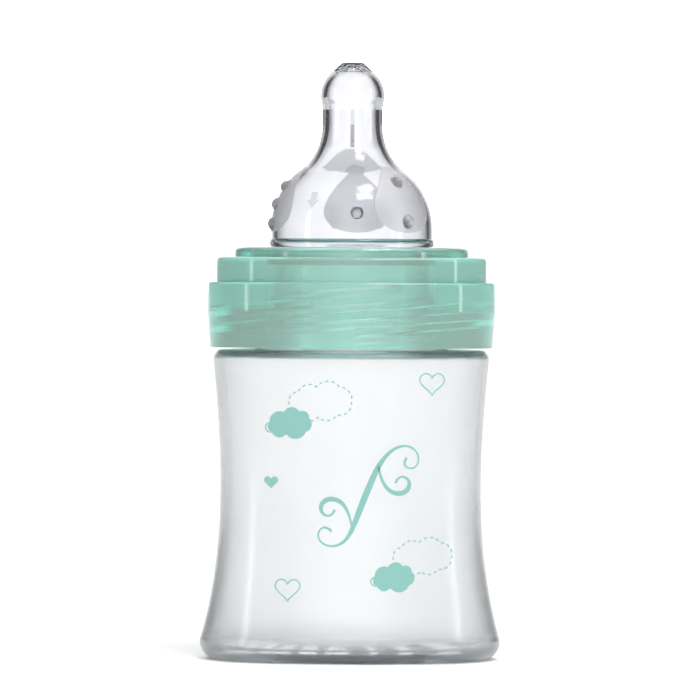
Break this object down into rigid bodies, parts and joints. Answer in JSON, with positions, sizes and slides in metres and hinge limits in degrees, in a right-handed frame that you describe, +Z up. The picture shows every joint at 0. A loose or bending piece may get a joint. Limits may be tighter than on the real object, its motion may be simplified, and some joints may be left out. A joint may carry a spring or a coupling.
{
  "type": "baby bottle",
  "caption": "Wide-neck baby bottle: soft-triangular waisted body, stepped screw ring and clear silicone teat; the ring unscrews and lifts the teat off the neck.",
  "frame": {"origin": "centre of the base pad, on the neck axis, where the bottle stands", "axes": "+Z up along the neck and teat axis; one flat face of the soft-triangular body looks along -Y, and one round corner points along +Y"},
  "size_m": [0.069, 0.0676, 0.1372],
  "materials": {
    "bottle_plastic": "translucent natural polypropylene, satin outside",
    "ring_plastic": "translucent mint green polypropylene, moulded, satin gloss",
    "teat_silicone": "clear liquid silicone rubber with matt patches",
    "print_ink": "screen-printed pale mint ink on the bottle's front"
  },
  "bodies": {
    "bottle": {"bottle_body": "bottle_plastic"},
    "teat": {"teat": "teat_silicone"},
    "ring": {"screw_ring": "ring_plastic"}
  },
  "joints": [
    {"name": "teat_lift", "type": "slide", "parent": "bottle", "child": "teat", "axis": [0, 0, 1], "range_m": [0, 0.0202]},
    {"name": "ring_turn", "type": "hinge", "parent": "teat", "child": "ring", "pos_m": [0, 0, 0.08], "axis": [0, 0, 1], "range_deg": [0, 660]}
  ],
  "couplings": [
    {"joint": "teat_lift", "follows": "ring_turn", "m_per_rad": 0.0017507}
  ]
}
